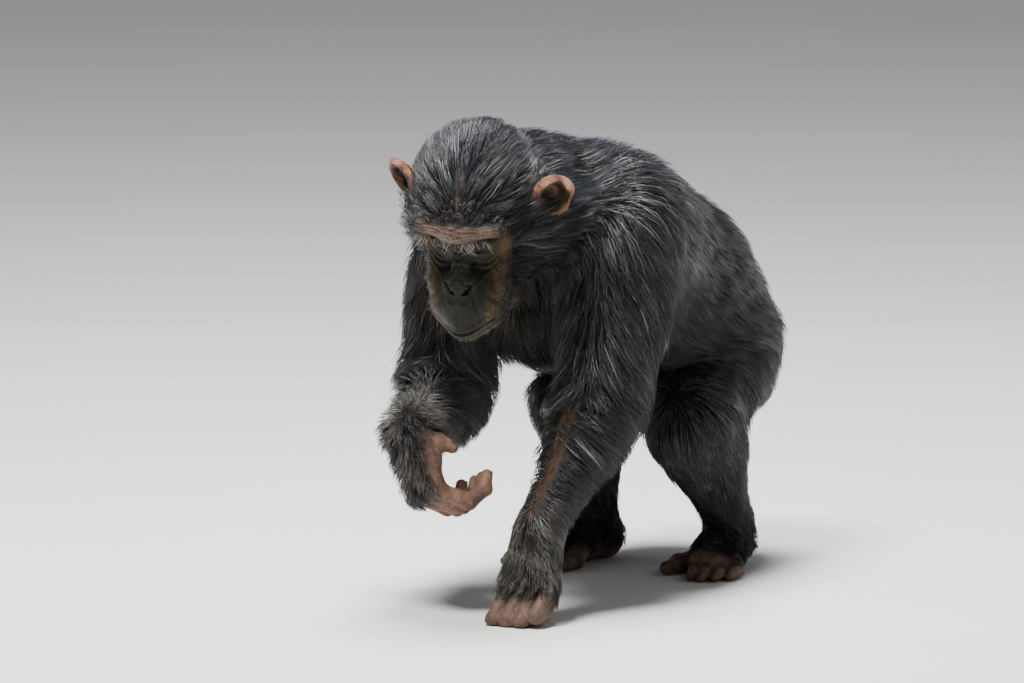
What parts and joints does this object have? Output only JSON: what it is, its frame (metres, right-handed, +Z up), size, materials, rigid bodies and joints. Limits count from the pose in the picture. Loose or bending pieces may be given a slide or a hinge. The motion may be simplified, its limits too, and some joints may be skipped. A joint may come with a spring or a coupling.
{
  "type": "chimpanzee",
  "caption": "Life-size young chimpanzee walking on its knuckles, with bowed head, one hand lifted and a long shaggy coat.",
  "frame": {"origin": "on the floor, at the middle of the footprint's bounding box", "axes": "+Z up; +Y towards the tail end, so the animal faces -Y; +X towards its left side"},
  "size_m": [0.3796, 0.7142, 0.6161],
  "materials": {
    "coat": "long hair, black with a blue-grey sheen, browner on the flank and belly",
    "face_skin": "bare wrinkled skin, dark grey-brown, with black hair round it",
    "ear_skin": "bare pinkish-brown skin",
    "hand_skin": "bare creased skin, pink-brown to dark",
    "foot_skin": "bare creased skin, dark",
    "eye": "wet, dark brown"
  },
  "bodies": {
    "root": {"eye_left": "eye", "eye_right": "eye", "ear_left": "ear_skin", "ear_right": "ear_skin", "head": "face_skin", "neck": "coat", "torso": "coat", "index_finger_left": "hand_skin", "middle_finger_left": "hand_skin", "ring_finger_left": "hand_skin", "little_finger_left": "hand_skin", "thumb_left": "hand_skin", "hand_left": "hand_skin", "upper_arm_left": "coat", "forearm_left": "coat", "index_finger_right": "hand_skin", "middle_finger_right": "hand_skin", "ring_finger_right": "hand_skin", "little_finger_right": "hand_skin", "thumb_right": "hand_skin", "hand_right": "hand_skin", "upper_arm_right": "coat", "forearm_right": "coat", "big_toe_left": "foot_skin", "second_toe_left": "foot_skin", "third_toe_left": "foot_skin", "fourth_toe_left": "foot_skin", "little_toe_left": "foot_skin", "foot_left": "foot_skin", "thigh_left": "coat", "lower_leg_left": "coat", "big_toe_right": "foot_skin", "second_toe_right": "foot_skin", "third_toe_right": "foot_skin", "fourth_toe_right": "foot_skin", "little_toe_right": "foot_skin", "foot_right": "foot_skin", "thigh_right": "coat", "lower_leg_right": "coat"}
  },
  "joints": []
}
